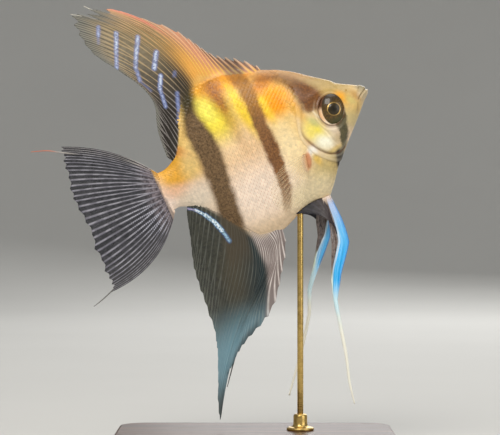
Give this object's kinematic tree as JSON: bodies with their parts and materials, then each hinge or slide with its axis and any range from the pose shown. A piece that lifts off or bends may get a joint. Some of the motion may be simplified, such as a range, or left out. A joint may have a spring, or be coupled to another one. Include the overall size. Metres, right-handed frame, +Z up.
{
  "type": "freshwater angelfish",
  "caption": "Life-size still model of a barred freshwater angelfish with tall fins and trailing pelvic filaments, held nose-up by a rod on a flat wooden base.",
  "frame": {"origin": "centre of the stand base's underside", "axes": "+X the way the fish faces, +Y to the fish's left, +Z up"},
  "size_m": [0.12, 0.06, 0.1479],
  "materials": {
    "skin": "wet scaled skin, cream below, golden above, with dark slanting bars",
    "fin": "thin smoky membrane with pale rays",
    "pelvic_fin": "sky-blue and white rays fading to cream filaments",
    "clear_fin": "nearly clear membrane with fine pale rays",
    "eye": "clear cornea over a dark iris with a thin gold ring",
    "base_wood": "dark walnut, satin lacquer",
    "stand_metal": "brushed, lacquered"
  },
  "bodies": {
    "root": {"head": "skin", "lower_jaw": "skin", "gill_cover_right": "skin", "gill_cover_left": "skin", "trunk": "skin", "tail_stalk": "skin", "dorsal_fin": "fin", "anal_fin": "fin", "tail_fin": "fin", "pelvic_fin_right": "pelvic_fin", "pelvic_fin_left": "pelvic_fin", "pectoral_fin_right": "clear_fin", "pectoral_fin_left": "clear_fin", "eye_right": "eye", "eye_left": "eye", "stand_base": "base_wood", "stand_rod": "stand_metal", "stand_collar": "stand_metal"}
  },
  "joints": []
}
